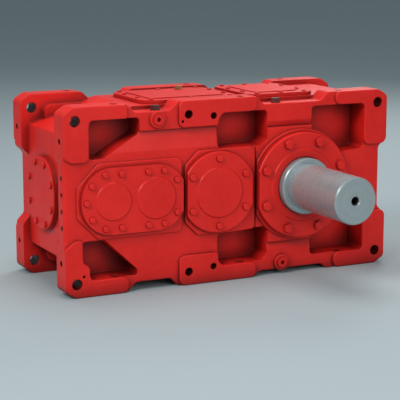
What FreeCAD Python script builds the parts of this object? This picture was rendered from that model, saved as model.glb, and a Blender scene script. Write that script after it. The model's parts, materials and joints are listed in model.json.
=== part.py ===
import FreeCAD, Part
import math
import os

# Industrial gearbox: one-piece housing, three parallel-shaft gear stages.
# Units are millimetres. X runs along the housing from the input end to the
# output end, -Y is the output side, Z is up. The origin is the centre of the
# foot bolt holes on the base plane.

V = FreeCAD.Vector

# ---- housing envelope ----
half_length = 505.0
height = 516.0
half_width = 196.0
axis_z = height / 2
plate_t = 65.0
cast_step = 8.0
waist_depth = 22.0
waist_half = 88.0
corner_x = 30.0
corner_z = 18.0
strip_recess = 24.0
foot_recess_out = 14.0
outline_r = 18.0
soft_edge = 3.0
cavity_end = 445.0

# ---- windows that give access to the foot bolts ----
window_depth = 82.0
window_wall = 9.0
window_r = 12.0
sill = 45.0

# ---- shaft positions ----
output_x = 212.0
centres_3 = 264.0
centres_2 = 190.0
centres_1 = 126.0
inter2_x = output_x - centres_3
inter1_x = inter2_x - centres_2
input_x = inter1_x - centres_1

# ---- gear data: module, pinion teeth, wheel teeth, face width, centre in Y ----
module_1 = 3.0
module_2 = 5.0
module_3 = 6.0
pinion_teeth_1 = 22
wheel_teeth_1 = 62
pinion_teeth_2 = 20
wheel_teeth_2 = 56
pinion_teeth_3 = 23
wheel_teeth_3 = 65
width_1 = 40.0
width_2 = 60.0
width_3 = 90.0
plane_1 = -55.0
plane_2 = 54.0
plane_3 = -55.0
backlash = 0.35
pressure_angle = math.radians(20.0)

# ---- bearings: bore, outside diameter, width ----
output_bearing = (150.0, 225.0, 48.0)
inter2_bearing = (80.0, 140.0, 35.0)
inter1_bearing = (50.0, 110.0, 29.0)
input_bearing = (45.0, 100.0, 27.0)
bearing_inset = 133.0
running_gap = 0.3

# ---- covers: outside radius, thickness, height of the boss above the pads ----
double_cover_r = 91.0
double_cover_t = 12.0
double_boss = -2.0
double_flat = 82.0
mid_cover_r = 114.0
mid_cover_t = 14.0
mid_boss = 0.0
mid_flat_left = 97.0
mid_flat_right = 105.0
output_cover_r = 151.0
output_cover_t = 18.0
output_boss = 4.0
output_flat = 142.0
boss_gap = 2.0
boss_rim = 8.0
plateau_drop = 5.0
spigot_gap = 0.2
end_cover_r = 104.0
end_cover_x = -499.0
end_cover_t = 10.0
end_spigot_r = 70.0
seal_outer_r = 95.0

# ---- screws: thread, head across flats or diameter, head height ----
m10 = (10.0, 16.0, 6.4)
m12 = (12.0, 18.0, 7.5)
m16 = (16.0, 24.0, 10.0)
double_screw_r = 77.0
mid_screw_r = 95.0
output_screw_r = 130.0
end_screw_r = 90.0

# ---- shaft ends ----
output_d = 130.0
output_len = 250.0
output_shoulder = 47.0
output_collar_d = 160.0
input_d = 42.0
input_len = 110.0
input_shoulder = 30.0
output_tap_r = 12.0
output_tap_len = 45.0
input_tap_r = 8.0
input_tap_len = 36.0

# ---- bolt holes ----
foot_hole_x = 352.0
foot_mid_x = 32.0
foot_hole_y = 171.0
foot_hole_r = 13.0
corner_hole_x = 472.0
corner_hole_dz = 220.0
corner_hole_r = 15.0
mid_hole_x = -139.0
mid_hole_r = 12.0
second_hole_x = -62.5
second_hole_dz = 212.0
second_hole_r = 9.5
tapped_depth = 42.0
end_hole_y = 165.0
end_hole_dz = 165.0
end_hole_r = 8.0
end_hole_depth = 30.0
top_hole_r = 10.5
rear_mid_hole_r = 10.5
rear_second_hole_r = 8.5

# ---- parallel keys: width, height in the hub, depth in the shaft ----
output_key = (40.0, 8.4, 13.0)
inter2_key = (25.0, 5.4, 9.0)
inter1_key = (16.0, 4.3, 6.0)
input_key = (12.0, 3.3, 5.0)


# ---------------------------------------------------------------- helpers
def cylinder_y(x, z, r, y0, y1):
    return Part.makeCylinder(r, y1 - y0, V(x, y0, z), V(0, 1, 0))


def cylinder_z(x, y, r, z0, z1):
    return Part.makeCylinder(r, z1 - z0, V(x, y, z0), V(0, 0, 1))


def cylinder_x(y, z, r, x0, x1):
    return Part.makeCylinder(r, x1 - x0, V(x0, y, z), V(1, 0, 0))


def box(x0, x1, y0, y1, z0, z1):
    return Part.makeBox(x1 - x0, y1 - y0, z1 - z0, V(x0, y0, z0))


def rounded_outline(points, radii):
    """Closed list of edges through flat points, each corner rounded by its radius."""
    count = len(points)
    starts = []
    ends = []
    middles = []
    for i in range(count):
        here = points[i]
        to_last = points[i - 1] - here
        to_next = points[(i + 1) % count] - here
        angle = to_last.getAngle(to_next)
        room = 0.48 * min(to_last.Length, to_next.Length)
        r = min(radii[i], room * math.tan(angle / 2))
        if r <= 0 or abs(angle - math.pi) < 1e-6:
            starts.append(here)
            ends.append(here)
            middles.append(None)
            continue
        reach = r / math.tan(angle / 2)
        a = here + to_last.normalize() * reach
        b = here + to_next.normalize() * reach
        bisector = (to_last + to_next).normalize()
        centre = here + bisector * (r / math.sin(angle / 2))
        starts.append(a)
        ends.append(b)
        middles.append(centre - bisector * r)
    edges = []
    for i in range(count):
        if middles[i] is not None:
            edges.append(Part.Arc(starts[i], middles[i], ends[i]).toShape())
        nxt = (i + 1) % count
        if (starts[nxt] - ends[i]).Length > 1e-6:
            edges.append(Part.makeLine(ends[i], starts[nxt]))
    return edges


def slab_y(corners, y0, y1, r=0.0):
    """Flat shape given by (x, z) corners, extruded from y0 to y1."""
    points = [V(x, y0, z) for x, z in corners]
    wire = Part.Wire(rounded_outline(points, [r] * len(points)))
    return Part.Face(wire).extrude(V(0, y1 - y0, 0))


def slab_z(corners, z0, z1, r=0.0):
    """Flat shape given by (x, y) corners, extruded from z0 to z1."""
    points = [V(x, y, z0) for x, y in corners]
    wire = Part.Wire(rounded_outline(points, [r] * len(points)))
    return Part.Face(wire).extrude(V(0, 0, z1 - z0))


def soften_front(shape, y, r):
    """Rounds the outer edges that lie in the plane y."""
    edges = [e for e in shape.Edges if all(abs(v.Y - y) < 1e-6 for v in e.Vertexes)]
    return shape.makeFillet(r, edges)


def turned(x, z, profile):
    """Solid of revolution about a Y axis through (x, z) from (y, r) points."""
    points = [V(x + r, y, z) for y, r in profile]
    wire = Part.makePolygon(points + [points[0]])
    return Part.Face(wire).revolve(V(x, 0, z), V(0, 1, 0), 360)


def fuse_all(shapes):
    return shapes[0].multiFuse(shapes[1:]).removeSplitter()


def mirror_y(shape):
    return shape.mirror(V(0, 0, 0), V(0, 1, 0))


def on_circle(x, z, r, degrees):
    return [(x + r * math.cos(math.radians(a)), z + r * math.sin(math.radians(a))) for a in degrees]


def save(name, shape):
    shape.exportStep("parts/" + name + ".step")


# ---------------------------------------------------------------- screw patterns
def double_cover_spots():
    left = on_circle(input_x, axis_z, double_screw_r, [72, 108, 144, 180, 216, 252, 288])
    right = on_circle(inter1_x, axis_z, double_screw_r, [-108, -72, -36, 36, 72, 108])
    return left + right


def input_cover_spots():
    return on_circle(input_x, axis_z, double_screw_r, [60, 108, 156, 204, 252, 300])


def inter1_cover_spots():
    return on_circle(inter1_x, axis_z, double_screw_r, [-120, -72, -36, 36, 72, 120])


def mid_cover_spots():
    return on_circle(inter2_x, axis_z, mid_screw_r, range(30, 390, 60))


def output_cover_spots():
    return on_circle(output_x, axis_z, output_screw_r, [22.5 + 45 * k for k in range(8)])


def end_cover_spots():
    return on_circle(0.0, axis_z, end_screw_r, [22.5 + 45 * k for k in range(8)])


# ---------------------------------------------------------------- housing
def plate_outline():
    """Outline of the front and rear plates: corner and middle pads, waists."""
    lower = [
        (-half_length, corner_z),
        (-half_length + corner_x, 0),
        (-320.0, 0),
        (-320.0 + strip_recess, strip_recess),
        (-168.0 - strip_recess, strip_recess),
        (-168.0, 0),
        (74.0, 0),
        (74.0 + foot_recess_out, foot_recess_out),
        (307.0 - foot_recess_out, foot_recess_out),
        (307.0, 0),
        (half_length - corner_x, 0),
        (half_length, corner_z),
        (half_length, axis_z - waist_half - waist_depth),
        (half_length - waist_depth, axis_z - waist_half),
    ]
    upper_right = [
        (half_length - waist_depth, axis_z + waist_half),
        (half_length, axis_z + waist_half + waist_depth),
        (half_length, height - corner_z),
        (half_length - corner_x, height),
        (307.0, height),
        (307.0 - strip_recess, height - strip_recess),
        (74.0 + strip_recess, height - strip_recess),
        (74.0, height),
        (-168.0, height),
        (-168.0 - strip_recess, height - strip_recess),
        (-320.0 + strip_recess, height - strip_recess),
        (-320.0, height),
        (-half_length + corner_x, height),
        (-half_length, height - corner_z),
    ]
    left = [
        (-half_length, axis_z + waist_half + waist_depth),
        (-half_length + waist_depth, axis_z + waist_half),
        (-half_length + waist_depth, axis_z - waist_half),
        (-half_length, axis_z - waist_half - waist_depth),
    ]
    return lower + upper_right + left


def body_outline():
    return [
        (-483.0, 91.0), (-330.0, 91.0), (-270.0, 34.0), (436.0, 34.0), (483.0, 91.0),
        (483.0, 456.0), (436.0, 502.0), (-280.0, 502.0), (-483.0, 434.0),
    ]


def cavity_outline():
    return [
        (-cavity_end, 108.0), (-322.0, 108.0), (-262.0, 50.0), (428.0, 50.0), (465.0, 98.0),
        (465.0, 448.0), (428.0, 486.0), (-276.0, 486.0), (-cavity_end, 429.0),
    ]


def corner_pads():
    """Machined pads of the front plate, standing proud of the cast face."""
    y0 = -half_width
    y1 = -half_width + cast_step + 2 * soft_edge
    left_low = [
        (-505.0, 18.0), (-475.0, 0.0), (-320.0, 0.0), (-320.0, 45.0), (-434.0, 45.0),
        (-434.0, 82.0), (-454.0, 95.0), (-454.0, 158.0), (-475.0, 158.0), (-505.0, 136.0),
    ]
    left_high = [
        (-505.0, 380.0), (-483.0, 366.0), (-432.0, 366.0), (-432.0, 471.0), (-320.0, 471.0),
        (-320.0, 516.0), (-475.0, 516.0), (-505.0, 498.0),
    ]
    right_low = [
        (330.0, 0.0), (475.0, 0.0), (505.0, 18.0), (505.0, 148.0), (492.0, 160.0),
        (428.0, 160.0), (428.0, 45.0), (330.0, 45.0),
    ]
    right_high = [
        (428.0, 356.0), (492.0, 356.0), (505.0, 368.0), (505.0, 498.0), (475.0, 516.0),
        (330.0, 516.0), (330.0, 478.0), (428.0, 478.0),
    ]
    mid_low = [
        (-168.0, 0.0), (74.0, 0.0), (74.0, 45.0), (-35.0, 45.0), (-47.0, 62.0), (-47.0, 86.0), (-168.0, 86.0),
    ]
    mid_high = [
        (-168.0, 442.0), (-47.0, 442.0), (-47.0, 456.0), (-35.0, 476.0), (74.0, 476.0), (74.0, 516.0),
        (-168.0, 516.0),
    ]
    corner_pieces = [slab_y(c, y0, y1, outline_r) for c in (left_low, left_high, right_low, right_high)]
    mid_pieces = [slab_y(c, y0, y1, outline_r) for c in (mid_low, mid_high)]
    return [soften_front(piece, y0, soft_edge) for piece in corner_pieces + mid_pieces]


def window_outlines():
    """Access pockets of the front plate, three above and three below the shafts."""
    high_left = [(-432.0, 372.0), (-390.0, 372.0), (-282.0, 434.0), (-282.0, 478.0), (-432.0, 478.0)]
    high_mid = [
        (-47.0, 377.0), (88.0, 377.0), (110.0, 392.0), (110.0, 476.0), (-32.0, 476.0), (-47.0, 456.0),
    ]
    high_right = [(254.0, 330.0), (428.0, 346.0), (428.0, 478.0), (254.0, 478.0)]
    low_left = [
        (-434.0, 45.0), (-292.0, 45.0), (-292.0, 60.0), (-388.0, 152.0), (-454.0, 152.0), (-454.0, 95.0),
        (-434.0, 82.0),
    ]
    low_mid = [(-32.0, 45.0), (94.0, 45.0), (113.0, 64.0), (113.0, 146.0), (-47.0, 136.0), (-47.0, 60.0)]
    low_right = [(254.0, 45.0), (428.0, 45.0), (428.0, 170.0), (254.0, 186.0)]
    return [high_left, high_mid, high_right, low_left, low_mid, low_right]


def windows():
    """Window pockets, kept clear of the round output boss."""
    keep = cylinder_y(output_x, axis_z, output_cover_r + boss_rim, -half_width - 20, half_width)
    pockets = []
    for corners in window_outlines():
        pocket = slab_y(corners, -half_width - 2, -half_width + window_depth, window_r)
        pockets.append(pocket.cut(keep))
    return pockets


def window_walls():
    """Blocks that close the window pockets where they reach past the plate."""
    y0 = -half_width + plate_t
    length = window_depth + window_wall - plate_t
    walls = []
    for corners in window_outlines():
        points = [V(x, y0, z) for x, z in corners]
        wire = Part.Wire(rounded_outline(points, [window_r] * len(points)))
        grown = Part.Face(wire).makeOffset2D(window_wall)
        walls.append(grown.extrude(V(0, length, 0)))
    return walls


def double_boss_outline():
    half = 104.0
    left = input_x - double_cover_r - 10.0
    right = inter1_x + double_flat + boss_gap
    slope = 62.0
    return [
        (left, axis_z - half + slope), (left + slope, axis_z - half), (right, axis_z - half),
        (right, axis_z + half), (left + slope, axis_z + half), (left, axis_z + half - slope),
    ]


def mid_plateau_outline():
    """Eight-sided face round the middle cover, running on to the output boss."""
    left = inter2_x - mid_flat_left - boss_gap
    half = 119.0
    slope = 40.0
    right = output_x - output_flat - boss_gap
    return [
        (left, axis_z - half + slope), (left + slope, axis_z - half), (right, axis_z - half),
        (right, axis_z + half), (left + slope, axis_z + half), (left, axis_z + half - slope),
    ]


def output_plateau_outline():
    left = output_x - output_flat + boss_gap
    return [(left, 95.0), (270.0, 95.0), (270.0, 425.0), (left, 425.0)]


def bosses():
    """Bearing bosses of the front plate, each with its own machined face."""
    y1 = -half_width + cast_step + 2 * soft_edge
    double_y = -half_width - double_boss
    mid_y = -half_width - mid_boss
    output_y = -half_width - output_boss
    plateau_y = -half_width + plateau_drop
    output = cylinder_y(output_x, axis_z, output_cover_r + boss_rim, output_y, y1)
    spare = output_cover_r + boss_rim
    flat = box(output_x - spare, output_x - output_flat + boss_gap, output_y - 1, y1 + 1, 0, height)
    return [
        soften_front(slab_y(double_boss_outline(), double_y, y1, outline_r), double_y, soft_edge),
        soften_front(slab_y(mid_plateau_outline(), mid_y, y1, outline_r), mid_y, soft_edge),
        soften_front(slab_y(output_plateau_outline(), plateau_y, y1, outline_r), plateau_y, soft_edge),
        soften_front(output.cut(flat), output_y, soft_edge),
    ]


def end_strip():
    """Bolt strip that fills the waist of the front plate at the input end."""
    y0 = -half_width + cast_step
    strip = box(-half_length + 1.0, -half_length + waist_depth + 5.0, y0, y0 + 38.0, 140.0, 376.0)
    edges = [e for e in strip.Edges if all(v.X < -half_length + 2 and v.Y < y0 + 1 for v in e.Vertexes)]
    return strip.makeFillet(10.0, edges)


def plug_bosses():
    """Round bosses of the front plate that carry the oil plugs."""
    y0 = -half_width + 1.0
    y1 = -half_width + cast_step + 2
    return [soften_front(cylinder_y(x, z, 24.0, y0, y1), y0, 2.0) for x, z in oil_plug_spots()]


def oil_plug_spots():
    return [(-230.0, 469.0), (158.0, 34.0)]


def wedge(x0, x1, z_shallow, z_deep, depth):
    """Cast slope of the front face: flush at one height, recessed at the other."""
    y0 = -half_width + cast_step
    points = [V(x0, y0 - 1, z_shallow), V(x0, y0 - 1, z_deep), V(x0, y0 + depth, z_deep)]
    return Part.Face(Part.makePolygon(points + [points[0]])).extrude(V(x1 - x0, 0, 0))


def cast_slopes():
    return [
        wedge(-390.0, -45.0, 380.0, 440.0, 10.0), wedge(108.0, 256.0, 445.0, 426.0, 6.0),
        wedge(108.0, 256.0, 70.0, 94.0, 6.0),
    ]


def front_plate():
    """Front plate with pads, bosses and windows, from the pads to the chamber."""
    y0 = -half_width + cast_step
    plate = soften_front(slab_y(plate_outline(), y0, -half_width + plate_t, outline_r), y0, soft_edge)
    plate = plate.cut(Part.makeCompound(cast_slopes()))
    solid = fuse_all([plate] + corner_pads() + bosses() + plug_bosses())
    return solid.cut(Part.makeCompound(windows()))


def top_opening(x0, x1):
    return slab_z([(x0, -92.0), (x1, -92.0), (x1, 92.0), (x0, 92.0)], 480.0, 510.0, 20.0)


def bearing_bores():
    """Through bores of both plates for the eight bearings."""
    cuts = []
    spots = [
        (output_x, output_bearing), (inter2_x, inter2_bearing),
        (inter1_x, inter1_bearing), (input_x, input_bearing),
    ]
    for x, bearing in spots:
        cuts.append(cylinder_y(x, axis_z, bearing[1] / 2, -half_width - 20, half_width + 20))
    return cuts


def tapped_for(spots, thread, depth):
    """Blind holes of the front side for the cover screws."""
    reach = -half_width + depth
    return [cylinder_y(x, z, thread[0] / 2, -half_width - 20, reach) for x, z in spots]


def front_screw_holes():
    holes = tapped_for(double_cover_spots(), m10, 26.0)
    holes += tapped_for(mid_cover_spots(), m12, 30.0)
    holes += tapped_for(output_cover_spots(), m16, 34.0)
    return holes


def rear_screw_holes():
    holes = tapped_for(input_cover_spots() + inter1_cover_spots(), m10, 26.0)
    holes += tapped_for(mid_cover_spots(), m12, 30.0)
    holes += tapped_for(output_cover_spots(), m16, 34.0)
    return [mirror_y(hole) for hole in holes]


def plate_bolt_holes(mid_r, second_r):
    """Corner through holes and blind tapped holes of one plate."""
    holes = []
    y0 = -half_width - 2
    through = -half_width + plate_t + 2
    blind = -half_width + tapped_depth
    for dz in (-corner_hole_dz, corner_hole_dz):
        for x in (-corner_hole_x, corner_hole_x):
            holes.append(cylinder_y(x, axis_z + dz, corner_hole_r, y0, through))
        holes.append(cylinder_y(mid_hole_x, axis_z + dz, mid_r, y0, blind))
    for dz in (-second_hole_dz, second_hole_dz):
        holes.append(cylinder_y(second_hole_x, axis_z + dz, second_r, y0, blind))
    return holes


def foot_holes():
    """Vertical bolt holes through the foot strips, below and above the windows."""
    holes = []
    for x in (-foot_hole_x, foot_mid_x, foot_hole_x):
        for y in (-foot_hole_y, foot_hole_y):
            holes.append(cylinder_z(x, y, foot_hole_r, -1.0, sill + 5.0))
            holes.append(cylinder_z(x, y, top_hole_r, height - sill - 5.0, height + 1.0))
    return holes


def end_holes():
    """Tapped holes in the ends of both plates."""
    holes = []
    for y in (-end_hole_y, end_hole_y):
        for dz in (-end_hole_dz, end_hole_dz):
            z = axis_z + dz
            holes.append(cylinder_x(y, z, end_hole_r, -half_length - 1, -half_length + end_hole_depth))
            holes.append(cylinder_x(y, z, end_hole_r, half_length - end_hole_depth, half_length + 1))
    return holes


def dowel_spots():
    return [(-452.0, 58.0), (-157.0, 459.0)]


def end_plug_spots():
    return [(-172.0, axis_z + dz) for dz in (-67.5, -22.5, 22.5, 67.5)]


def end_openings():
    """Bore of the end cover, its screw holes, the row of end plugs and a relief pocket."""
    x0 = -half_length - 1
    cuts = [cylinder_x(0.0, axis_z, end_spigot_r, x0, -cavity_end + 5.0)]
    for y, z in end_cover_spots():
        cuts.append(cylinder_x(y, z, m10[0] / 2, x0, end_cover_x + end_cover_t + 24.0))
    for y, z in end_plug_spots():
        cuts.append(cylinder_x(y, z, 7.0, x0, -half_length + 16.0))
    cuts.append(box(x0, -458.0, -148.0, -110.0, 250.0, 346.0))
    return cuts


def top_cover_spots(x0, x1, half):
    """Screw positions round the rim of a top cover."""
    xs = [x0 + 28.0, (x0 + x1) / 2, x1 - 28.0]
    spots = [(x, y) for x in xs for y in (-half + 15.0, half - 15.0)]
    spots += [(x, y) for x in (x0 + 15.0, x1 - 15.0) for y in (-45.0, 45.0)]
    return spots


def all_top_spots():
    return top_cover_spots(-240.0, 60.0, 124.0) + top_cover_spots(92.0, 302.0, 124.0)


def make_housing():
    front = front_plate()
    rear = mirror_y(front)
    inner = half_width - plate_t
    body = slab_y(body_outline(), -inner - 5, inner + 5, 6.0)
    end_boss = cylinder_x(0.0, axis_z, end_cover_r, end_cover_x + end_cover_t, -470.0)
    pockets = windows()
    walls = window_walls()
    walls += [mirror_y(wall) for wall in walls]
    solid = fuse_all([front, rear, body, end_boss, end_strip()] + walls)
    cuts = [slab_y(cavity_outline(), -inner, inner, 10.0).cut(Part.makeCompound(walls))]
    cuts += pockets + [mirror_y(pocket) for pocket in pockets]
    cuts += [top_opening(-196.0, 16.0), top_opening(132.0, 262.0)]
    cuts += bearing_bores() + front_screw_holes() + rear_screw_holes()
    cuts += plate_bolt_holes(mid_hole_r, second_hole_r)
    cuts += [mirror_y(hole) for hole in plate_bolt_holes(rear_mid_hole_r, rear_second_hole_r)]
    cuts += foot_holes() + end_holes() + end_openings()
    cuts += [cylinder_z(x, y, 4.0, 486.0, 520.0) for x, y in all_top_spots()]
    cuts += [cylinder_y(x, z, 10.0, -half_width - 2, -half_width + 22.0) for x, z in oil_plug_spots()]
    cuts += [cylinder_z(x, y, 9.0, 472.0, 520.0) for x, y in top_plug_spots()]
    cuts += [cylinder_y(x, z, 4.0, -half_width - 2, -half_width + 12.0) for x, z in dowel_spots()]
    return solid.cut(Part.makeCompound(cuts)).removeSplitter()


# ---------------------------------------------------------------- covers
def spigot(x, bearing, boss):
    """Centring ring of a front cover, reaching in to the bearing."""
    outer = bearing[1] / 2 - spigot_gap
    y1 = -bearing_inset - bearing[2] - 0.2
    ring = cylinder_y(x, axis_z, outer, -half_width - boss, y1)
    return ring.cut(cylinder_y(x, axis_z, outer - 9.0, -half_width - boss - 1, y1 + 1))


def pierce(shape, spots, thread):
    """Clearance holes for screws along Y."""
    for x, z in spots:
        shape = shape.cut(cylinder_y(x, z, thread[0] / 2 + 0.5, -half_width - 60, half_width + 60))
    return shape


def make_double_cover():
    face = -half_width - double_boss
    outline = slab_y(stadium(), face - double_cover_t, face, double_cover_r - 0.5)
    trim = box(inter1_x + double_flat, inter1_x + 200.0, -half_width - 60, 0, 0, height)
    plate = outline.cut(trim)
    discs = [
        turned(input_x, axis_z, disc_profile(face - double_cover_t, 50.0, 3.5)),
        turned(inter1_x, axis_z, disc_profile(face - double_cover_t, 56.0, 3.5)),
    ]
    rings = [spigot(input_x, input_bearing, double_boss), spigot(inter1_x, inter1_bearing, double_boss)]
    return pierce(fuse_all([plate] + discs + rings), double_cover_spots(), m10)


def stadium():
    r = double_cover_r
    x0 = input_x - r
    x1 = inter1_x + r
    return [(x0, axis_z - r), (x1, axis_z - r), (x1, axis_z + r), (x0, axis_z + r)]


def disc_profile(face, r, rise):
    """Raised disc with a sloped rim in front of a cover face."""
    return [(face + 1.0, 0.0), (face + 1.0, r + 3.0), (face, r + 3.0), (face - rise, r), (face - rise, 0.0)]


def round_cover(x, r, thick, boss, bearing, disc_r, rise):
    """Closed round cover of the front side with a raised disc."""
    face = -half_width - boss
    edge = 2.0
    profile = [
        (face, 0.0), (face, r), (face - thick + edge, r), (face - thick, r - edge), (face - thick, 0.0),
    ]
    plate = turned(x, axis_z, profile)
    disc = turned(x, axis_z, disc_profile(face - thick, disc_r, rise))
    return fuse_all([plate, disc, spigot(x, bearing, boss)])


def trimmed(shape, x, left, right):
    """Cover about x with a flat on its left and right side."""
    far = 400.0
    y0 = -half_width - 60
    shape = shape.cut(box(x - far, x - left, y0, 0, 0, height))
    return shape.cut(box(x + right, x + far, y0, 0, 0, height))


def make_mid_cover():
    cover = round_cover(inter2_x, mid_cover_r, mid_cover_t, mid_boss, inter2_bearing, 69.0, 4.0)
    return pierce(trimmed(cover, inter2_x, mid_flat_left, mid_flat_right), mid_cover_spots(), m12)


def make_rear_mid_cover():
    return mirror_y(make_mid_cover())


def make_output_cover():
    face = -half_width - output_boss
    front = face - output_cover_t
    edge = 2.5
    lip = output_collar_d / 2 + 1.0
    profile = [
        (face, seal_outer_r), (face, output_cover_r), (front + edge, output_cover_r),
        (front, output_cover_r - edge), (front, 104.0), (front - 3.0, 101.0), (front - 3.0, lip + 1.5),
        (front - 1.5, lip), (front + 4.0, lip), (front + 4.0, seal_outer_r),
    ]
    plate = turned(output_x, axis_z, profile)
    cover = fuse_all([plate, spigot(output_x, output_bearing, output_boss)])
    cover = trimmed(cover, output_x, output_flat, output_cover_r + 1.0)
    return pierce(cover, output_cover_spots(), m16)


def make_rear_output_cover():
    cover = round_cover(output_x, output_cover_r, output_cover_t, output_boss, output_bearing, 100.0, 4.0)
    cover = trimmed(cover, output_x, output_flat, output_cover_r + 1.0)
    return mirror_y(pierce(cover, output_cover_spots(), m16))


def make_rear_inter1_cover():
    cover = round_cover(inter1_x, double_cover_r, double_cover_t, double_boss, inter1_bearing, 56.0, 3.5)
    cover = trimmed(cover, inter1_x, centres_1 / 2 - 0.5, double_flat)
    return mirror_y(pierce(cover, inter1_cover_spots(), m10))


def make_rear_input_cover():
    face = -half_width - double_boss
    front = face - double_cover_t
    bore = input_bearing[0] / 2 + 1.0
    seal_r = 35.0
    profile = [
        (face, bore + 4.0), (face, double_cover_r), (front + 2.0, double_cover_r),
        (front, double_cover_r - 2.0), (front, 46.0), (front - 6.0, 44.0), (front - 6.0, seal_r),
        (face - 2.0, seal_r), (face - 2.0, bore), (face, bore),
    ]
    cover = fuse_all([turned(input_x, axis_z, profile), spigot(input_x, input_bearing, double_boss)])
    cover = trimmed(cover, input_x, double_cover_r + 1.0, centres_1 / 2 - 0.5)
    return mirror_y(pierce(cover, input_cover_spots(), m10))


def make_output_seal():
    front = -half_width - output_boss - output_cover_t + 4.2
    inner = output_collar_d / 2 + running_gap
    outer = seal_outer_r - 0.1
    profile = [
        (front, outer), (front, inner + 3.0), (front + 1.5, inner), (front + 4.0, inner),
        (front + 6.0, inner + 4.0), (front + 13.0, inner + 4.0), (front + 13.0, outer),
    ]
    return turned(output_x, axis_z, profile)


def make_input_seal():
    front = -half_width - double_boss - double_cover_t
    inner = input_bearing[0] / 2 + running_gap
    profile = [
        (front - 5.5, 34.8), (front - 5.5, inner + 3.0), (front - 4.0, inner), (front - 1.0, inner),
        (front + 1.0, inner + 3.0), (front + 8.0, inner + 3.0), (front + 8.0, 34.8),
    ]
    return mirror_y(turned(input_x, axis_z, profile))


def top_cover(x0, x1, half, corner):
    """Flat cover on the top opening with a raised machined panel."""
    corners = [(x0, -half), (x1, -half), (x1, half), (x0, half)]
    plate = slab_z(corners, 502.0, 512.0, corner)
    inset = 34.0
    panel_corners = [
        (x0 + inset, -half + inset), (x1 - inset, -half + inset), (x1 - inset, half - inset),
        (x0 + inset, half - inset),
    ]
    panel = slab_z(panel_corners, 511.0, 514.5, 14.0)
    cover = fuse_all([plate, panel])
    for x, y in top_cover_spots(x0, x1, half):
        cover = cover.cut(cylinder_z(x, y, 4.5, 500.0, 520.0))
    x, y = breather_spot()
    return cover.cut(cylinder_z(x, y, 8.0, 500.0, 520.0))


def make_end_cover():
    x1 = end_cover_x + end_cover_t
    plate = cylinder_x(0.0, axis_z, end_cover_r - 2.0, end_cover_x, x1)
    plate = plate.makeFillet(soft_edge, [e for e in plate.Edges if all(v.X < x1 - 1 for v in e.Vertexes)])
    rim = cylinder_x(0.0, axis_z, end_spigot_r - spigot_gap, x1 - 1, x1 + 10.0)
    core = cylinder_x(0.0, axis_z, end_spigot_r - 12.0, x1, x1 + 11.0)
    cover = fuse_all([plate, rim]).cut(core)
    for y, z in end_cover_spots():
        cover = cover.cut(cylinder_x(y, z, 5.5, end_cover_x - 2, x1 + 2))
    return cover


# ---------------------------------------------------------------- screws and plugs
def hexagon(radius, turn=0.0):
    return [(radius * math.cos(math.radians(60 * k + turn)), radius * math.sin(math.radians(60 * k + turn)))
            for k in range(6)]


def hex_screw(thread, length):
    """Hexagon head screw, head towards -Y, seat at the origin."""
    radius = thread[1] / math.sqrt(3.0)
    head = slab_y(hexagon(radius, 30.0), -thread[2], -1.5)
    bevel = Part.makeCone(radius - 2.2, radius + 1.2, 3.4, V(0, -thread[2], 0), V(0, 1, 0))
    body = Part.makeCylinder(radius + 1.2, thread[2], V(0, -thread[2] + 3.4, 0), V(0, 1, 0))
    head = head.common(bevel.fuse(body))
    washer = Part.makeCylinder(thread[1] * 0.56, 1.5, V(0, -1.5, 0), V(0, 1, 0))
    shank = Part.makeCylinder(thread[0] / 2 - 0.1, length + 1.0, V(0, -1.0, 0), V(0, 1, 0))
    return fuse_all([head, washer, shank])


def placed(shape, x, y, z, rear=False):
    """Copy of a -Y facing piece at a spot, turned to face +Y on the rear side."""
    copy = shape.copy()
    if rear:
        copy.rotate(V(0, 0, 0), V(0, 0, 1), 180)
    copy.translate(V(x, y, z))
    return copy


def make_m10_screws():
    screw = hex_screw(m10, 28.0)
    y = half_width + double_boss + double_cover_t
    front = [placed(screw, x, -y, z) for x, z in double_cover_spots()]
    rear = [placed(screw, x, y, z, True) for x, z in input_cover_spots() + inter1_cover_spots()]
    return Part.makeCompound(front + rear)


def make_m12_screws():
    screw = hex_screw(m12, 36.0)
    y = half_width + mid_boss + mid_cover_t
    front = [placed(screw, x, -y, z) for x, z in mid_cover_spots()]
    rear = [placed(screw, x, y, z, True) for x, z in mid_cover_spots()]
    return Part.makeCompound(front + rear)


def make_m16_screws():
    screw = hex_screw(m16, 45.0)
    y = half_width + output_boss + output_cover_t
    front = [placed(screw, x, -y, z) for x, z in output_cover_spots()]
    rear = [placed(screw, x, y, z, True) for x, z in output_cover_spots()]
    return Part.makeCompound(front + rear)


def make_top_screws():
    """Low head screws of the top covers, kept below the mounting pads."""
    radius = 13.0 / math.sqrt(3.0)
    screws = []
    for x, y in all_top_spots():
        head = slab_z([(x + a, y + b) for a, b in hexagon(radius)], 512.0, 515.5)
        shank = cylinder_z(x, y, 3.9, 490.0, 513.0)
        screws.append(fuse_all([head, shank]))
    return Part.makeCompound(screws)


def make_end_screws():
    screw = hex_screw(m10, 28.0)
    screw.rotate(V(0, 0, 0), V(0, 0, 1), -90)
    screws = []
    for y, z in end_cover_spots():
        copy = screw.copy()
        copy.translate(V(end_cover_x, y, z))
        screws.append(copy)
    return Part.makeCompound(screws)


def make_end_plugs():
    x0 = -half_length + 1.0
    plugs = []
    for y, z in end_plug_spots():
        body = cylinder_x(y, z, 6.9, x0 + 1.5, x0 + 12.0)
        points = [V(x0 + 1.0, y + a, z + b) for a, b in hexagon(4.4)]
        socket = Part.Face(Part.makePolygon(points + [points[0]])).extrude(V(6.5, 0, 0))
        plugs.append(body.cut(socket))
    return Part.makeCompound(plugs)


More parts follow.
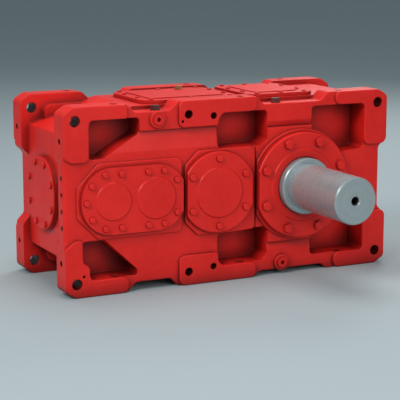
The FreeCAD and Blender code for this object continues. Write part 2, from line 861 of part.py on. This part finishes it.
def make_oil_plugs():
    """Flanged screw plugs for oil level and drain."""
    y0 = -half_width + 1.0
    plugs = []
    for x, z in oil_plug_spots():
        profile = [
            (y0 + 16.0, 0.0), (y0 + 16.0, 9.9), (y0, 9.9), (y0, 15.0), (y0 - 4.0, 15.0), (y0 - 4.0, 0.0),
        ]
        socket = slab_y([(x + a, z + b) for a, b in hexagon(6.4)], y0 - 5.0, y0 + 5.0)
        plugs.append(turned(x, axis_z, profile).translated(V(0, 0, z - axis_z)).cut(socket))
    return Part.makeCompound(plugs)


def breather_spot():
    return (-42.0, 72.0)


def make_breather():
    """Low breather cap screwed into the left top cover."""
    x, y = breather_spot()
    stem = cylinder_z(x, y, 7.9, 490.0, 516.0)
    nut = slab_z([(x + a, y + b) for a, b in hexagon(12.5)], 514.5, 520.0)
    cap = cylinder_z(x, y, 9.0, 520.0, 524.0)
    dome = Part.makeCone(9.0, 6.0, 2.0, V(x, y, 524.0), V(0, 0, 1))
    return fuse_all([stem, nut, cap, dome])


def top_plug_spots():
    return [(-226.0, -165.0), (148.0, -165.0)]


def make_top_plugs():
    """Hexagon plugs in the recessed top edge of the front plate."""
    z0 = height - strip_recess
    plugs = []
    for x, y in top_plug_spots():
        head = slab_z([(x + a, y + b) for a, b in hexagon(12.5)], z0 + 3.0, z0 + 13.0)
        flange = cylinder_z(x, y, 14.0, z0, z0 + 3.5)
        stem = cylinder_z(x, y, 8.9, z0 - 18.0, z0 + 1.0)
        plugs.append(fuse_all([head, flange, stem]))
    return Part.makeCompound(plugs)


# ---------------------------------------------------------------- gears
def involute(angle):
    return math.tan(angle) - angle


def half_tooth_angle(radius, pitch_r, module):
    """Half the tooth thickness, as an angle, at a radius on the involute."""
    base_r = pitch_r * math.cos(pressure_angle)
    local = math.acos(min(1.0, base_r / radius))
    thickness = math.pi * module / 2 - backlash
    return thickness / (2 * pitch_r) + involute(pressure_angle) - involute(local)


def gear_blank(x, teeth, module, y0, y1, first):
    """Toothed disc about the shaft at x, with one tooth centred at angle first."""
    pitch_r = module * teeth / 2
    root_r = pitch_r - 1.25 * module
    tip_r = pitch_r + module
    start_r = max(root_r + 0.1 * module, pitch_r * math.cos(pressure_angle) + 0.01)
    flank = [start_r + (tip_r - start_r) * k / 3 for k in range(4)]
    points = []
    for tooth in range(teeth):
        middle = first + 2 * math.pi * tooth / teeth
        foot = half_tooth_angle(start_r, pitch_r, module)
        side = [(root_r, foot + 0.12 * module / root_r)]
        side += [(r, half_tooth_angle(r, pitch_r, module)) for r in flank]
        for r, a in side:
            points.append(polar(x, y0, r, middle - a))
        for r, a in reversed(side):
            points.append(polar(x, y0, r, middle + a))
    wire = Part.makePolygon(points + [points[0]])
    return Part.Face(wire).extrude(V(0, y1 - y0, 0))


def polar(x, y, r, angle):
    return V(x + r * math.cos(angle), y, axis_z + r * math.sin(angle))


def wheel(x, teeth, module, plane, width, bore_r, hub_r, key):
    """Gear wheel with recessed web, hub and keyway, a gap facing the pinion at -X."""
    y0 = plane - width / 2
    y1 = plane + width / 2
    first = math.pi + math.pi / teeth
    blank = gear_blank(x, teeth, module, y0, y1, first)
    rim_r = module * teeth / 2 - 3.2 * module
    depth = width * 0.22
    for a, b in ((y0 - 1, y0 + depth), (y1 - depth, y1 + 1)):
        ring = cylinder_y(x, axis_z, rim_r, a, b).cut(cylinder_y(x, axis_z, hub_r, a - 1, b + 1))
        blank = blank.cut(ring)
    blank = blank.cut(cylinder_y(x, axis_z, bore_r, y0 - 1, y1 + 1))
    slot = box(x - key[0] / 2, x + key[0] / 2, y0 - 1, y1 + 1, axis_z, axis_z + bore_r + key[1])
    return blank.cut(slot)


def input_keyway():
    """Open keyway of the input shaft end, on the +X side."""
    key = key_piece(input_x, half_width + input_shoulder + 55.0, 90.0, input_d / 2, input_key)
    return key.rotated(V(input_x, 0, axis_z), V(0, 1, 0), 90)


def key_piece(x, plane, length, bore_r, key):
    """Parallel key half sunk in the shaft: key is width, height in hub, depth in shaft."""
    return box(x - key[0] / 2, x + key[0] / 2, plane - length / 2, plane + length / 2,
               axis_z + bore_r - key[2], axis_z + bore_r + key[1])


# ---------------------------------------------------------------- bearings
def outer_ring(x, bearing, rear=False):
    """Outer ring with a plain track, held in the plate."""
    outer = bearing[1] / 2
    section = (bearing[1] - bearing[0]) / 2
    track = outer - 0.2 * section
    lip = outer - 0.28 * section
    y0 = -bearing_inset - bearing[2]
    y1 = -bearing_inset
    rib = bearing[2] * 0.13
    profile = [
        (y0, outer), (y1, outer), (y1, lip), (y1 - rib, lip), (y1 - rib, track), (y0, track),
    ]
    ring = turned(x, axis_z, profile)
    return mirror_y(ring) if rear else ring


def inner_set(x, bearing, rollers, rear=False):
    """Inner ring with its crown of rollers and cage, turning with the shaft."""
    inner = bearing[0] / 2
    section = (bearing[1] - bearing[0]) / 2
    track = inner + 0.24 * section
    lip = inner + 0.34 * section
    y0 = -bearing_inset - bearing[2]
    y1 = -bearing_inset
    rib = bearing[2] * 0.13
    profile = [
        (y0, inner), (y1, inner), (y1, lip), (y1 - rib, lip), (y1 - rib, track), (y0 + rib, track),
        (y0 + rib, lip), (y0, lip),
    ]
    roller_r = (bearing[1] / 2 - 0.2 * section - running_gap - track) / 2
    ride_r = track + roller_r
    cage_in = ride_r - 0.35 * roller_r
    cage_out = ride_r + 0.35 * roller_r
    low = y0 + rib + 1.0
    high = y1 - rib - 1.0
    cage_end = high + 0.2
    cage_profile = [
        (low - 3.0, cage_in), (cage_end, cage_in), (cage_end, cage_out), (low - 3.0, cage_out),
    ]
    cage = turned(x, axis_z, cage_profile)
    pieces = [turned(x, axis_z, profile)]
    slots = []
    for k in range(rollers):
        a = 2 * math.pi * k / rollers
        rx = x + ride_r * math.cos(a)
        rz = axis_z + ride_r * math.sin(a)
        pieces.append(cylinder_y(rx, rz, roller_r - 0.05, low, high))
        slots.append(cylinder_y(rx, rz, roller_r + 0.25, low - 0.2, high + 0.5))
    pieces.append(cage.cut(Part.makeCompound(slots)))
    shape = Part.makeCompound(pieces)
    return mirror_y(shape) if rear else shape


# ---------------------------------------------------------------- shafts
def make_output_shaft():
    """Solid output shaft with a plain end, collar, gear seat and centre thread."""
    end = -half_width - output_shoulder - output_len
    shoulder = end + output_len
    bearing_d, _, bearing_w = output_bearing
    seat = -bearing_inset - bearing_w
    r = output_d / 2
    profile = [
        (end, 0.0), (end, r - 4.0), (end + 4.0, r), (shoulder, r),
        (shoulder, output_collar_d / 2 - 3.0), (shoulder + 3.0, output_collar_d / 2),
        (seat - 0.5, output_collar_d / 2), (seat - 0.5, bearing_d / 2), (-bearing_inset, bearing_d / 2),
        (-bearing_inset, 84.0), (plane_3 - 45.0, 98.0), (plane_3 - 45.0, 80.0), (plane_3 + 45.0, 80.0),
        (plane_3 + 45.0, bearing_d / 2), (-seat + 2.0, bearing_d / 2), (-seat + 4.0, bearing_d / 2 - 2.0),
        (-seat + 4.0, 0.0),
    ]
    shaft = turned(output_x, axis_z, profile)
    tap = cylinder_y(output_x, axis_z, output_tap_r, end - 1, end + output_tap_len)
    sink = Part.makeCone(output_tap_r + 3.0, output_tap_r, 3.0, V(output_x, end, axis_z), V(0, 1, 0))
    shaft = shaft.cut(tap).cut(sink)
    return shaft.cut(key_piece(output_x, plane_3, 80.0, 80.0, output_key))


def make_output_wheel():
    return wheel(output_x, wheel_teeth_3, module_3, plane_3, width_3, 80.0, 115.0, output_key)


def make_output_spacer():
    y0 = plane_3 + width_3 / 2
    outer = cylinder_y(output_x, axis_z, 86.0, y0, bearing_inset)
    return outer.cut(cylinder_y(output_x, axis_z, output_bearing[0] / 2, y0 - 1, bearing_inset + 1))


def make_inter2_shaft():
    """Second intermediate shaft: pinion teeth in front, seat for its wheel behind."""
    bearing_w = inter2_bearing[2]
    seat = bearing_inset + bearing_w
    y0 = plane_3 - width_3 / 2 - 2.0
    y1 = plane_3 + width_3 / 2 + 2.0
    wheel_end = plane_2 + width_2 / 2
    profile = [
        (-seat - 2.0, 0.0), (-seat - 2.0, 38.0), (-seat, 40.0), (-bearing_inset, 40.0),
        (-bearing_inset, 50.0),
        (y0 + 1.0, 50.0), (y1 - 1.0, 50.0), (y1 + 8.0, 58.0), (plane_2 - width_2 / 2, 58.0),
        (plane_2 - width_2 / 2, 45.0), (wheel_end, 45.0), (wheel_end, 40.0), (seat, 40.0), (seat + 2.0, 38.0),
        (seat + 2.0, 0.0),
    ]
    core = turned(inter2_x, axis_z, profile)
    teeth = gear_blank(inter2_x, pinion_teeth_3, module_3, y0, y1, 0.0)
    shaft = fuse_all([core, teeth])
    return shaft.cut(key_piece(inter2_x, plane_2, 50.0, 45.0, inter2_key))


def make_inter2_wheel():
    return wheel(inter2_x, wheel_teeth_2, module_2, plane_2, width_2, 45.0, 72.0, inter2_key)


def make_inter2_spacer():
    y0 = plane_2 + width_2 / 2
    outer = cylinder_y(inter2_x, axis_z, 52.0, y0, bearing_inset)
    return outer.cut(cylinder_y(inter2_x, axis_z, 40.0, y0 - 1, bearing_inset + 1))


def make_inter1_shaft():
    """First intermediate shaft: wheel seat in front, pinion teeth behind."""
    bearing_w = inter1_bearing[2]
    seat = bearing_inset + bearing_w
    y0 = plane_2 - width_2 / 2 - 2.0
    y1 = plane_2 + width_2 / 2 + 2.0
    wheel_start = plane_1 - width_1 / 2
    wheel_end = plane_1 + width_1 / 2
    profile = [
        (-seat - 2.0, 0.0), (-seat - 2.0, 23.0), (-seat, 25.0), (wheel_start, 25.0), (wheel_start, 29.0),
        (wheel_end, 29.0), (wheel_end, 38.0), (y0 + 1.0, 38.0), (y1 - 1.0, 38.0), (y1, 34.0),
        (bearing_inset, 34.0), (bearing_inset, 25.0), (seat, 25.0), (seat + 2.0, 23.0), (seat + 2.0, 0.0),
    ]
    core = turned(inter1_x, axis_z, profile)
    teeth = gear_blank(inter1_x, pinion_teeth_2, module_2, y0, y1, 0.0)
    shaft = fuse_all([core, teeth])
    return shaft.cut(key_piece(inter1_x, plane_1, 34.0, 29.0, inter1_key))


def make_inter1_wheel():
    return wheel(inter1_x, wheel_teeth_1, module_1, plane_1, width_1, 29.0, 50.0, inter1_key)


def make_inter1_spacer():
    y1 = plane_1 - width_1 / 2
    outer = cylinder_y(inter1_x, axis_z, 33.0, -bearing_inset, y1)
    return outer.cut(cylinder_y(inter1_x, axis_z, 25.0, -bearing_inset - 1, y1 + 1))


def make_input_shaft():
    """Input pinion shaft, leaving the housing through the rear cover."""
    bearing_w = input_bearing[2]
    seat = bearing_inset + bearing_w
    y0 = plane_1 - width_1 / 2 - 2.0
    y1 = plane_1 + width_1 / 2 + 2.0
    shoulder = half_width + input_shoulder
    end = shoulder + input_len
    r = input_d / 2
    profile = [
        (-seat - 2.0, 0.0), (-seat - 2.0, 20.5), (-seat, 22.5), (-bearing_inset, 22.5),
        (-bearing_inset, 27.0),
        (bearing_inset, 27.0), (bearing_inset, 22.5), (shoulder, 22.5), (shoulder, r), (end - 2.0, r),
        (end, r - 2.0), (end, 0.0),
    ]
    core = turned(input_x, axis_z, profile)
    teeth = gear_blank(input_x, pinion_teeth_1, module_1, y0, y1, 0.0)
    shaft = fuse_all([core, teeth])
    tap = cylinder_y(input_x, axis_z, input_tap_r, end - input_tap_len, end + 1)
    return shaft.cut(tap).cut(input_keyway())


# ---------------------------------------------------------------- build
def build():
    os.makedirs("parts", exist_ok=True)
    save("housing", make_housing())
    save("top_cover_left", top_cover(-240.0, 60.0, 124.0, 46.0))
    save("top_cover_right", top_cover(92.0, 302.0, 124.0, 30.0))
    save("top_cover_screws", make_top_screws())
    save("breather", make_breather())
    save("top_plugs", make_top_plugs())
    save("front_double_cover", make_double_cover())
    save("front_mid_cover", make_mid_cover())
    save("front_output_cover", make_output_cover())
    save("rear_output_cover", make_rear_output_cover())
    save("rear_mid_cover", make_rear_mid_cover())
    save("rear_first_cover", make_rear_inter1_cover())
    save("rear_input_cover", make_rear_input_cover())
    save("end_cover", make_end_cover())
    save("cover_screws_m10", make_m10_screws())
    save("cover_screws_m12", make_m12_screws())
    save("cover_screws_m16", make_m16_screws())
    save("end_cover_screws", make_end_screws())
    save("end_plugs", make_end_plugs())
    save("oil_plugs", make_oil_plugs())
    save("output_seal", make_output_seal())
    save("input_seal", make_input_seal())
    save("output_shaft", make_output_shaft())
    save("output_wheel", make_output_wheel())
    save("output_key", key_piece(output_x, plane_3, 80.0, 80.0, output_key))
    save("output_spacer", make_output_spacer())
    save("second_shaft", make_inter2_shaft())
    save("second_wheel", make_inter2_wheel())
    save("second_key", key_piece(inter2_x, plane_2, 50.0, 45.0, inter2_key))
    save("second_spacer", make_inter2_spacer())
    save("first_shaft", make_inter1_shaft())
    save("first_wheel", make_inter1_wheel())
    save("first_key", key_piece(inter1_x, plane_1, 34.0, 29.0, inter1_key))
    save("first_spacer", make_inter1_spacer())
    save("input_shaft", make_input_shaft())
    bearings = [
        ("output", output_x, output_bearing, 18), ("second", inter2_x, inter2_bearing, 14),
        ("first", inter1_x, inter1_bearing, 12), ("input", input_x, input_bearing, 12),
    ]
    for name, x, bearing, rollers in bearings:
        save(name + "_bearing_front_outer", outer_ring(x, bearing))
        save(name + "_bearing_rear_outer", outer_ring(x, bearing, True))
        save(name + "_bearing_front_inner", inner_set(x, bearing, rollers))
        save(name + "_bearing_rear_inner", inner_set(x, bearing, rollers, True))


build()
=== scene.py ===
import json
import math

import bpy
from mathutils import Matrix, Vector


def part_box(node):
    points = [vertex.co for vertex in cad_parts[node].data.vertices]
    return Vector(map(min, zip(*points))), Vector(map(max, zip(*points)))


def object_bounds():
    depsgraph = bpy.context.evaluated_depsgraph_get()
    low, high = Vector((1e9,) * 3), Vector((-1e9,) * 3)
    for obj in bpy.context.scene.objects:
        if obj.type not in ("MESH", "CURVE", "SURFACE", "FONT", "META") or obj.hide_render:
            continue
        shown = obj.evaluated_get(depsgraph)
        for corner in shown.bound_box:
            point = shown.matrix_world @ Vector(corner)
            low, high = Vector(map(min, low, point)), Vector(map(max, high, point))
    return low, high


# Industrial gearbox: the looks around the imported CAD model.
# Units are metres. X runs along the housing from the input end to the output
# end, -Y is the side of the output shaft, Z is up.

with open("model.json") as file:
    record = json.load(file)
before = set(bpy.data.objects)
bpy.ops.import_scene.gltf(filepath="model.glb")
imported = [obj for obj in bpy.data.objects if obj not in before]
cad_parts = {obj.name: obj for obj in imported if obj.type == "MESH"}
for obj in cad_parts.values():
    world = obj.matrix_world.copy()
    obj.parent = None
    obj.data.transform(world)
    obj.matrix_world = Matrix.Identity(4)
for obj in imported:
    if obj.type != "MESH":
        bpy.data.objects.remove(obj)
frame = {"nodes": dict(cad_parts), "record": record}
cad_low, cad_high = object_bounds()

# ---- view ----
SENSOR = 36.0
LENS = 130.0
CAMERA_PLACE = Vector((-1.858, -3.696, 0.992))
CAMERA_YAW = math.radians(26.6)
CAMERA_DROP = math.radians(10.9)
CAMERA_REACH = 200.0

# ---- paint ----
PAINT_RED = (0.80, 0.016, 0.012)
PAINT_DEEP = (0.69, 0.011, 0.008)
PAINT_WORN = (0.84, 0.044, 0.030)
# near-black red for painted shade in corners, pockets and holes, partly standing for dust
PAINT_SHADE_AND_GRIME = (0.045, 0.002, 0.0015)
CAST_BUMP = 0.00035
PEEL_BUMP = 0.00006
NARROW_CORNER = 0.012
WIDE_CORNER = 0.070

# ---- steel and rubber ----
# steel grey with a teal tint painted in: a painted reflection of the pale blue-green studio round the
# shaft
SHAFT_GREY_WITH_SKY_TINT = (0.40, 0.46, 0.47)
SHAFT_METAL = 0.42
SHAFT_ROUGHNESS = 0.22
SHAFT_LINES = 1400.0
HOLE_DEPTH = 0.06
# near-black painted shade for the inside of the shaft's holes
HOLE_SHADE_COLOUR = (0.012, 0.012, 0.013)
RUBBER_DARK = (0.010, 0.010, 0.011)
RUBBER_DUSTY = (0.035, 0.034, 0.033)

# ---- paint by slot: radius that rounds the edges, strength of the painted shade and dirt in corners ----
PAINTS = {
    "housing_paint": (0.0045, 0.85),
    "cover_paint": (0.0018, 0.65),
    "screw_paint": (0.0010, 0.70),
}

# ---- metals by slot: colour, stain, metallic share, roughness, scale of the grain ----
METALS = {
    "plug_steel": ((0.16, 0.15, 0.14), (0.07, 0.065, 0.06), 0.9, 0.35, 800.0),
    "plug_zinc": ((0.16, 0.035, 0.028), (0.07, 0.022, 0.018), 0.3, 0.45, 900.0),
    "breather_brass": ((0.42, 0.22, 0.10), (0.26, 0.10, 0.05), 0.7, 0.40, 900.0),
    "gear_steel": ((0.42, 0.41, 0.40), (0.26, 0.25, 0.24), 1.0, 0.30, 700.0),
    "bearing_steel": ((0.70, 0.70, 0.71), (0.58, 0.58, 0.59), 1.0, 0.16, 1500.0),
    "key_steel": ((0.50, 0.50, 0.51), (0.36, 0.35, 0.34), 1.0, 0.30, 900.0),
}

# ---- studio ----
FLOOR_COLOUR = (0.40, 0.47, 0.49)
FLOOR_HALF = 40.0
SKY_COLOUR = (0.62, 0.72, 0.76)
SKY_STRENGTH = 0.34
LAMP_TARGET = (0.0, 0.0, 0.25)

# ---- lamps: name, place, width and height, power in watts ----
LAMPS = [
    ("key", (-3.4, -1.9, 3.2), (2.0, 1.6), 120.0),
    ("front", (0.4, -4.4, 1.9), (3.0, 2.0), 60.0),
    ("back", (2.6, 2.4, 2.6), (1.6, 1.8), 45.0),
    ("top", (0.0, 0.3, 3.6), (2.2, 2.2), 52.0),
]


# ---------------------------------------------------------------- node trees
class Graph:
    """Node tree of one material around its Principled shader."""

    def __init__(self, name):
        self.material = bpy.data.materials.new(name)
        self.material.use_nodes = True
        self.tree = self.material.node_tree
        self.shader = self.tree.nodes["Principled BSDF"]
        self.place = self.add("ShaderNodeTexCoord").outputs["Object"]

    def add(self, kind, inputs=None, **settings):
        node = self.tree.nodes.new(kind)
        for key, value in settings.items():
            setattr(node, key, value)
        for key, value in (inputs or {}).items():
            self.feed(node.inputs[key], value)
        return node

    def feed(self, socket, value):
        if isinstance(value, bpy.types.NodeSocket):
            self.tree.links.new(value, socket)
        else:
            socket.default_value = value

    def set(self, **sockets):
        """Shader sockets by name, with underscores for spaces."""
        for key, value in sockets.items():
            self.feed(self.shader.inputs[key.replace("_", " ")], value)

    def noise(self, scale, detail=2.0, roughness=0.5, vector=None):
        inputs = {"Vector": vector or self.place, "Scale": scale, "Detail": detail, "Roughness": roughness}
        return self.add("ShaderNodeTexNoise", inputs).outputs["Fac"]

    def math(self, operation, a, b=0.0):
        return self.add("ShaderNodeMath", {0: a, 1: b}, operation=operation).outputs[0]

    def spread(self, value, low, high, to_low=0.0, to_high=1.0):
        """value from low..high carried over to to_low..to_high, held at both ends."""
        inputs = {"Value": value, "From Min": low, "From Max": high, "To Min": to_low, "To Max": to_high}
        return self.add("ShaderNodeMapRange", inputs).outputs["Result"]

    def blend(self, share, a, b):
        node = self.add("ShaderNodeMix", data_type="RGBA")
        colours = [s for s in node.inputs if s.type == "RGBA"]
        self.feed(node.inputs["Factor"], share)
        for socket, colour in zip(colours, (a, b)):
            self.feed(socket, (*colour, 1.0) if isinstance(colour, tuple) else colour)
        return next(s for s in node.outputs if s.type == "RGBA")

    def rounded(self, radius):
        return self.add("ShaderNodeBevel", {"Radius": radius}, samples=6).outputs["Normal"]

    def openness(self, reach):
        """1 where nothing stands within reach, lower in corners and holes."""
        return self.add("ShaderNodeAmbientOcclusion", {"Distance": reach}, samples=6).outputs["AO"]

    def edges(self, normal, low, high):
        """1 along edges and corners, 0 on open faces."""
        true_normal = self.add("ShaderNodeNewGeometry").outputs["True Normal"]
        dot = self.add("ShaderNodeVectorMath", {0: normal, 1: true_normal}, operation="DOT_PRODUCT")
        return self.spread(dot.outputs["Value"], high, low)

    def bump(self, height, distance, normal=None):
        node = self.add("ShaderNodeBump", {"Height": height, "Distance": distance})
        node.inputs["Strength"].default_value = 1.0
        if normal is not None:
            self.feed(node.inputs["Normal"], normal)
        return node.outputs["Normal"]


# ---------------------------------------------------------------- materials
def paint(name, round_radius, shade_and_grime):
    """Glossy machine enamel over cast iron, thin on the edges, with painted shade and some dust darkening
    its corners and hollows.
    """
    g = Graph(name)
    patches = g.spread(g.noise(5.0, 3.0), 0.35, 0.65)
    colour = g.blend(patches, PAINT_DEEP, PAINT_RED)
    colour = g.blend(g.spread(g.noise(60.0, 4.0), 0.3, 0.8, 0.0, 0.25), colour, PAINT_WORN)
    round_normal = g.rounded(round_radius)
    wear = g.spread(g.noise(35.0, 5.0), 0.4, 0.65)
    rubbed = g.math("MULTIPLY", g.edges(round_normal, 0.80, 0.995), wear)
    colour = g.blend(g.math("MULTIPLY", rubbed, 0.6), colour, PAINT_WORN)
    # painted shade: corners, pockets and holes darkened towards near-black, partly standing for dust
    near = g.openness(NARROW_CORNER)
    far = g.openness(WIDE_CORNER)
    corner_shade_and_dust = g.math("MAXIMUM", g.spread(near, 0.75, 0.2), g.spread(far, 0.86, 0.42))
    colour = g.blend(g.math("MULTIPLY", corner_shade_and_dust, shade_and_grime), colour, PAINT_SHADE_AND_GRIME)
    cast = g.bump(g.noise(170.0, 4.0, 0.55), CAST_BUMP, round_normal)
    peel = g.bump(g.noise(950.0, 1.0), PEEL_BUMP, cast)
    gloss = g.spread(g.noise(14.0, 4.0), 0.3, 0.7, 0.40, 0.52)
    g.set(Base_Color=colour, Roughness=gloss, Normal=peel)
    g.set(Coat_Weight=0.06, Coat_Roughness=0.20, Specular_IOR_Level=0.22)
    return g.material


def turned_steel(name, axis_x, axis_z):
    """Machined steel with fine tool marks round an axis along Y, with painted shade darkening the inside
    of its holes.
    """
    g = Graph(name)
    centred = g.add("ShaderNodeVectorMath", {0: g.place, 1: (axis_x, 0.0, axis_z)}, operation="SUBTRACT")
    parts = g.add("ShaderNodeSeparateXYZ", {0: centred.outputs[0]}).outputs
    across = g.add("ShaderNodeCombineXYZ", {"X": parts["X"], "Y": 0.0, "Z": parts["Z"]}).outputs[0]
    radius = g.add("ShaderNodeVectorMath", {0: across}, operation="LENGTH").outputs["Value"]
    track = g.math("ADD", parts["Y"], radius)
    ring = g.add("ShaderNodeCombineXYZ", {"X": g.math("MULTIPLY", track, SHAFT_LINES)}).outputs[0]
    marks = g.noise(1.0, 3.0, 0.7, ring)
    broad = g.noise(0.06, 3.0, 0.6, ring)
    smears = g.noise(30.0, 3.0)
    dark = tuple(0.78 * c for c in SHAFT_GREY_WITH_SKY_TINT)
    tone = g.blend(g.spread(g.math("ADD", marks, broad), 0.7, 1.3), dark, SHAFT_GREY_WITH_SKY_TINT)
    # painted shade: deep hollows such as the centre hole blended towards near-black
    hole_shade = g.spread(g.openness(HOLE_DEPTH), 0.45, 0.20)
    tone = g.blend(hole_shade, tone, HOLE_SHADE_COLOUR)
    g.set(Base_Color=tone, Metallic=SHAFT_METAL)
    streaks = g.spread(marks, 0.3, 0.7, SHAFT_ROUGHNESS, SHAFT_ROUGHNESS + 0.14)
    rough = g.math("ADD", streaks, g.spread(smears, 0.3, 0.7, -0.04, 0.05))
    g.set(Roughness=rough, Normal=g.bump(marks, 0.00002, g.rounded(0.0008)))
    return g.material


def plain_metal(name, colour, stain, metallic, roughness, grain):
    """Small metal parts: a base tone with stains and a fine grain."""
    g = Graph(name)
    tone = g.blend(g.spread(g.noise(45.0, 5.0), 0.35, 0.65), stain, colour)
    g.set(Base_Color=tone, Metallic=metallic)
    g.set(Roughness=g.spread(g.noise(120.0, 3.0), 0.3, 0.7, roughness, roughness + 0.18))
    g.set(Normal=g.bump(g.noise(grain, 2.0), 0.00003, g.rounded(0.0006)))
    return g.material


def rubber(name):
    """Matte seal rubber with a little dust on it."""
    g = Graph(name)
    tone = g.blend(g.spread(g.noise(80.0, 4.0), 0.35, 0.7), RUBBER_DARK, RUBBER_DUSTY)
    g.set(Base_Color=tone, Roughness=g.spread(g.noise(200.0), 0.3, 0.7, 0.50, 0.68))
    g.set(Normal=g.bump(g.noise(900.0, 2.0), 0.00003))
    return g.material


def shaft_steel(node):
    """Turned steel centred on the node's own axis."""
    low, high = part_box(node)
    middle = (low + high) / 2
    return turned_steel(node + "_steel", middle.x, middle.z)


def materials_by_slot():
    made = {slot: paint(slot, *values) for slot, values in PAINTS.items()}
    made.update({slot: plain_metal(slot, *values) for slot, values in METALS.items()})
    made["seal_rubber"] = rubber("seal_rubber")
    return made


def slot_names():
    """Material slot of every CAD node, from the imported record."""
    return {part["node"]: part["material_slot"] for part in frame["record"]["subparts"]}


def finish_node(node, material):
    materials = frame["nodes"][node].data.materials
    materials.clear()
    materials.append(material)


def dress_nodes():
    slots = slot_names()
    made = materials_by_slot()
    for node in sorted(frame["nodes"]):
        if slots[node] == "ground_steel":
            finish_node(node, shaft_steel(node))
        else:
            finish_node(node, made[slots[node]])


# ---------------------------------------------------------------- studio
def add_floor():
    mesh = bpy.data.meshes.new("floor")
    h = FLOOR_HALF
    z = cad_low.z - 0.0005
    mesh.from_pydata([(-h, -h, z), (h, -h, z), (h, h, z), (-h, h, z)], [], [(0, 1, 2, 3)])
    floor = bpy.data.objects.new("floor", mesh)
    bpy.context.scene.collection.objects.link(floor)
    g = Graph("floor_matte")
    tone = g.blend(g.noise(0.8, 3.0), FLOOR_COLOUR, tuple(0.94 * c for c in FLOOR_COLOUR))
    g.set(Base_Color=tone, Roughness=0.85)
    mesh.materials.append(g.material)


def add_lamp(name, place, size, power):
    data = bpy.data.lights.new(name, "AREA")
    data.shape = "RECTANGLE"
    data.size, data.size_y = size
    data.energy = power
    lamp = bpy.data.objects.new(name, data)
    lamp.location = place
    lamp.rotation_euler = (Vector(LAMP_TARGET) - Vector(place)).to_track_quat("-Z", "Y").to_euler()
    bpy.context.scene.collection.objects.link(lamp)


def add_lights():
    for lamp in LAMPS:
        add_lamp(*lamp)


def add_sky():
    world = bpy.data.worlds.new("studio")
    world.use_nodes = True
    background = world.node_tree.nodes["Background"]
    background.inputs["Color"].default_value = (*SKY_COLOUR, 1.0)
    background.inputs["Strength"].default_value = SKY_STRENGTH
    bpy.context.scene.world = world


def add_camera():
    data = bpy.data.cameras.new("camera")
    data.sensor_width = SENSOR
    data.lens = LENS
    data.clip_end = CAMERA_REACH
    camera = bpy.data.objects.new("camera", data)
    camera.location = CAMERA_PLACE
    flat = math.cos(CAMERA_DROP)
    forward = Vector((math.sin(CAMERA_YAW) * flat, math.cos(CAMERA_YAW) * flat, -math.sin(CAMERA_DROP)))
    camera.rotation_euler = forward.to_track_quat("-Z", "Y").to_euler()
    bpy.context.scene.collection.objects.link(camera)
    bpy.context.scene.camera = camera


dress_nodes()
add_floor()
add_lights()
add_sky()
add_camera()
bpy.context.scene.view_settings.view_transform = "Standard"
